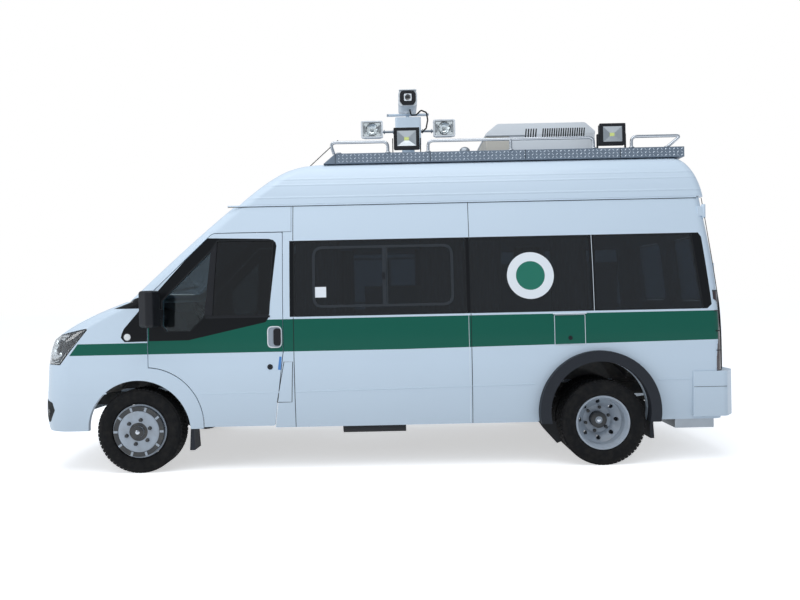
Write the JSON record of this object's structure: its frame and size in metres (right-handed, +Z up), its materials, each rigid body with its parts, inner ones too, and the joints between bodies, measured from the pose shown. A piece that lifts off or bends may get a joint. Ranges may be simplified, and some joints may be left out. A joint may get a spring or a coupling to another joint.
{
  "type": "environmental monitoring van",
  "caption": "High-roof panel van with twin rear wheels, a railed roof deck, light and camera tower, roof unit, floodlights and side windows.",
  "frame": {"origin": "on the ground, under the middle of the vehicle's overall box", "axes": "+X towards the rear, +Y to the vehicle's right, +Z up"},
  "size_m": [5.8173, 2.4544, 3.2995],
  "materials": {
    "white_paint": "gloss",
    "silver_paint": "satin",
    "dark_glass": "gloss",
    "black_plastic": "satin",
    "grey_plastic": "matte",
    "white_plastic": "gloss",
    "beige_plastic": "satin",
    "lamp_lens": "gloss",
    "red_lens": "gloss",
    "seat_fabric": "matte",
    "curtain_cloth": "matte",
    "underbody": "matte",
    "cast_iron": "rough",
    "steel": "brushed",
    "pale_panel": "satin",
    "tread_plate": "chequered",
    "tyre": "matte"
  },
  "bodies": {
    "body": {"body_side_left": "white_paint", "body_side_right": "white_paint", "sliding_door": "white_paint", "cab_frame": "white_paint", "roof_cap": "white_paint", "front_fenders": "white_paint", "front_bumper": "white_paint", "rear_bumper": "white_paint", "body_glass": "dark_glass", "grille": "black_plastic", "wipers": "black_plastic", "arch_flares_and_mudflaps": "black_plastic", "dashboard": "grey_plastic", "headlamps": "lamp_lens", "tail_lamps": "red_lens", "cab_seats": "seat_fabric", "curtains": "curtain_cloth", "floor_pan": "underbody", "chassis_frame": "underbody", "engine_block": "cast_iron", "driveline": "cast_iron", "rear_axle": "cast_iron", "suspension": "underbody", "fuel_tank": "black_plastic", "exhaust": "steel", "rear_step": "steel", "instrument_cabinets": "pale_panel", "roof_deck": "tread_plate", "roof_rails": "steel", "ac_unit": "beige_plastic", "floodlights": "black_plastic", "whip_antenna": "black_plastic", "tower_base": "white_paint"},
    "bonnet": {"bonnet": "white_paint"},
    "front_door_left": {"front_door_left": "white_paint", "front_door_glass_left": "dark_glass", "mirror_left": "black_plastic"},
    "front_door_right": {"front_door_right": "white_paint", "front_door_glass_right": "dark_glass", "mirror_right": "black_plastic"},
    "rear_door_left": {"rear_door_left": "white_paint", "rear_glass_left": "dark_glass"},
    "rear_door_right": {"rear_door_right": "white_paint", "rear_glass_right": "dark_glass"},
    "socket_flap": {"socket_flap": "white_paint"},
    "tower_head": {"tower_head": "white_paint", "camera": "white_plastic", "camera_cable": "black_plastic"},
    "tower_lamps": {"tower_lamps": "white_paint"},
    "steering_wheel": {"steering_wheel": "grey_plastic"},
    "knuckle_left": {"knuckle_left": "cast_iron"},
    "knuckle_right": {"knuckle_right": "cast_iron"},
    "front_left_wheel": {"front_left_tyre": "tyre", "front_left_rim": "silver_paint"},
    "front_right_wheel": {"front_right_tyre": "tyre", "front_right_rim": "silver_paint"},
    "rear_left_wheels": {"rear_left_tyres": "tyre", "rear_left_rims": "silver_paint"},
    "rear_right_wheels": {"rear_right_tyres": "tyre", "rear_right_rims": "silver_paint"}
  },
  "joints": [
    {"name": "steer_left", "type": "hinge", "parent": "body", "child": "knuckle_left", "pos_m": [-1.975, -0.79, 0.342], "axis": [0, 0, 1], "range_deg": [-33, 33]},
    {"name": "steer_right", "type": "hinge", "parent": "body", "child": "knuckle_right", "pos_m": [-1.975, 0.79, 0.342], "axis": [0, 0, 1], "range_deg": [-33, 33]},
    {"name": "front_left_spin", "type": "hinge", "parent": "knuckle_left", "child": "front_left_wheel", "pos_m": [-1.975, -0.87, 0.342], "axis": [0, 1, 0], "continuous": true},
    {"name": "front_right_spin", "type": "hinge", "parent": "knuckle_right", "child": "front_right_wheel", "pos_m": [-1.975, 0.87, 0.342], "axis": [0, 1, 0], "continuous": true},
    {"name": "rear_left_spin", "type": "hinge", "parent": "body", "child": "rear_left_wheels", "pos_m": [1.775, -0.818, 0.342], "axis": [0, 1, 0], "continuous": true},
    {"name": "rear_right_spin", "type": "hinge", "parent": "body", "child": "rear_right_wheels", "pos_m": [1.775, 0.818, 0.342], "axis": [0, 1, 0], "continuous": true},
    {"name": "steering_wheel_turn", "type": "hinge", "parent": "body", "child": "steering_wheel", "pos_m": [-1.522, -0.49, 1.215], "axis": [0.7541, 0, 0.6567], "range_deg": [-500, 500]},
    {"name": "front_door_left_hinge", "type": "hinge", "parent": "body", "child": "front_door_left", "pos_m": [-1.819, -0.977, 1], "axis": [0, 0, -1], "range_deg": [0, 62]},
    {"name": "front_door_right_hinge", "type": "hinge", "parent": "body", "child": "front_door_right", "pos_m": [-1.819, 0.977, 1], "axis": [0, 0, 1], "range_deg": [0, 62]},
    {"name": "rear_door_left_hinge", "type": "hinge", "parent": "body", "child": "rear_door_left", "pos_m": [2.835, -0.822, 1.5], "axis": [0, 0, -1], "range_deg": [0, 170]},
    {"name": "rear_door_right_hinge", "type": "hinge", "parent": "body", "child": "rear_door_right", "pos_m": [2.835, 0.822, 1.5], "axis": [0, 0, 1], "range_deg": [0, 170]},
    {"name": "bonnet_hinge", "type": "hinge", "parent": "body", "child": "bonnet", "pos_m": [-2.215, 0, 1.37], "axis": [0, 1, 0], "range_deg": [0, 50]},
    {"name": "socket_flap_hinge", "type": "hinge", "parent": "body", "child": "socket_flap", "pos_m": [1.527, -0.981, 1.2115], "axis": [-1, 0, 0], "range_deg": [0, 90]},
    {"name": "tower_pan", "type": "hinge", "parent": "body", "child": "tower_head", "pos_m": [0.27, 0, 2.8], "axis": [0, 0, 1], "range_deg": [-170, 170]},
    {"name": "tower_lamp_tilt", "type": "hinge", "parent": "tower_head", "child": "tower_lamps", "pos_m": [0.27, 0, 2.965], "axis": [1, 0, 0], "range_deg": [-60, 60]}
  ],
  "couplings": [
    {"joint": "steer_right", "follows": "steer_left", "ratio": 1},
    {"joint": "steering_wheel_turn", "follows": "steer_left", "ratio": 15}
  ]
}
